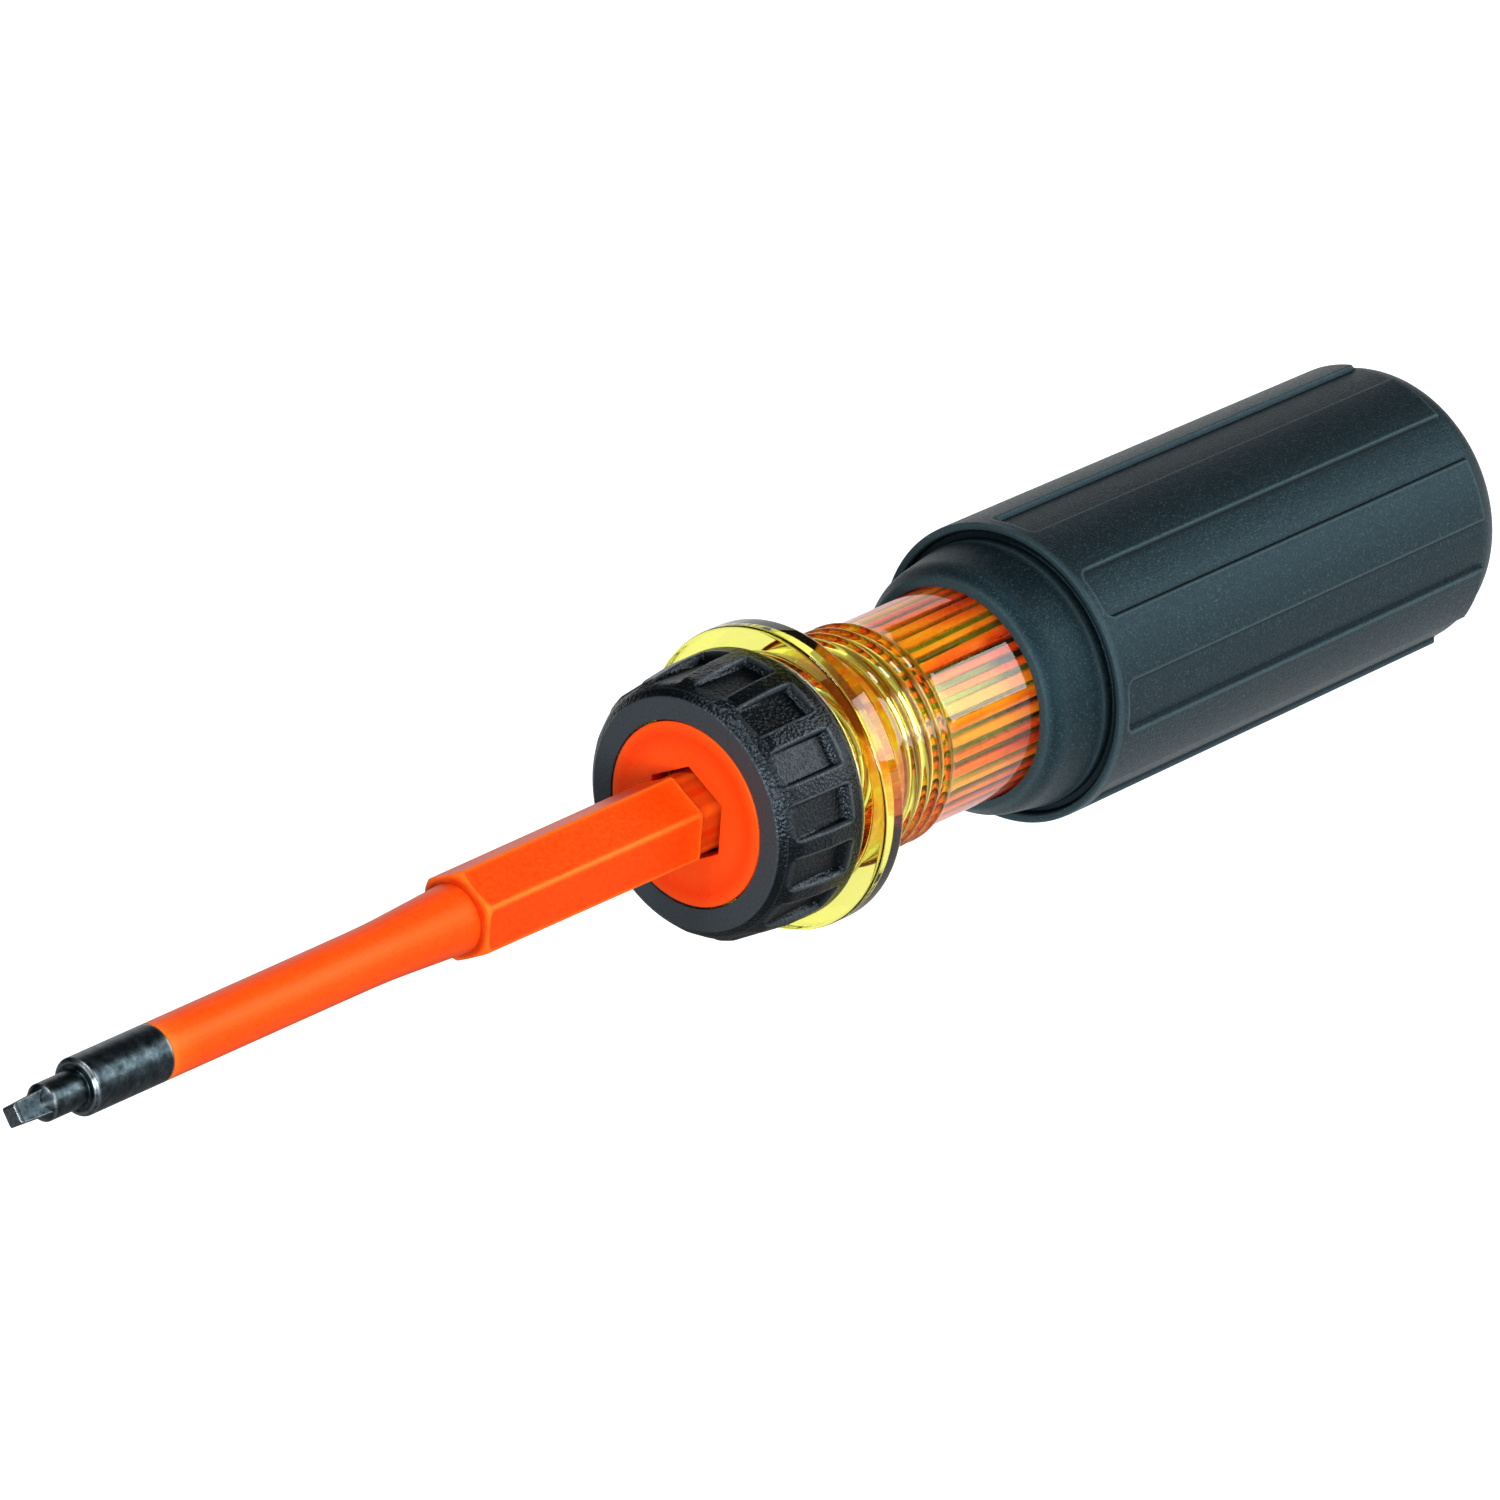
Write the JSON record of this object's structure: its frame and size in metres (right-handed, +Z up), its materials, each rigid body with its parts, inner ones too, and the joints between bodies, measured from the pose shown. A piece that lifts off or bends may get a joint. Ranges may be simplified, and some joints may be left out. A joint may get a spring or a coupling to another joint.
{
  "type": "insulated screwdriver",
  "caption": "Insulated screwdriver with a reversible square-drive blade, a twist collar that locks it, a clear amber handle core and a ribbed rubber cushion grip.",
  "frame": {"origin": "middle of the tool's box, on the surface the tool lies on", "axes": "+X along the tool's axis toward the square tip in use, +Z up, +Y toward the side with the collar's stop lug"},
  "size_m": [0.21, 0.032, 0.032],
  "materials": {
    "grip_rubber": "matt, fine moulded grain",
    "collar_plastic": "satin with a fine spark texture",
    "insulation_orange": "satin moulded",
    "liner_orange": "smooth moulded",
    "handle_amber": "clear, polished",
    "underlayer_white": "smooth",
    "blade_steel": "black oxide, fine turned grain",
    "spring_steel": "bright drawn wire and strip"
  },
  "bodies": {
    "handle": {"handle_core": "handle_amber", "cushion_grip": "grip_rubber", "socket_liner": "liner_orange", "collar_retaining_ring": "spring_steel", "spring_washer": "spring_steel"},
    "lock_collar": {"collar_ring": "collar_plastic", "lock_plate": "insulation_orange"},
    "blade": {"blade_shaft": "blade_steel", "blade_underlayer": "underlayer_white", "blade_sleeve": "insulation_orange"}
  },
  "joints": [
    {"name": "collar_twist", "type": "hinge", "parent": "handle", "child": "lock_collar", "pos_m": [0.0078, 0, 0.016], "axis": [1, 0, 0], "range_deg": [0, 30]},
    {"name": "blade_slide", "type": "slide", "parent": "handle", "child": "blade", "axis": [1, 0, 0], "range_m": [0, 0.105]}
  ]
}
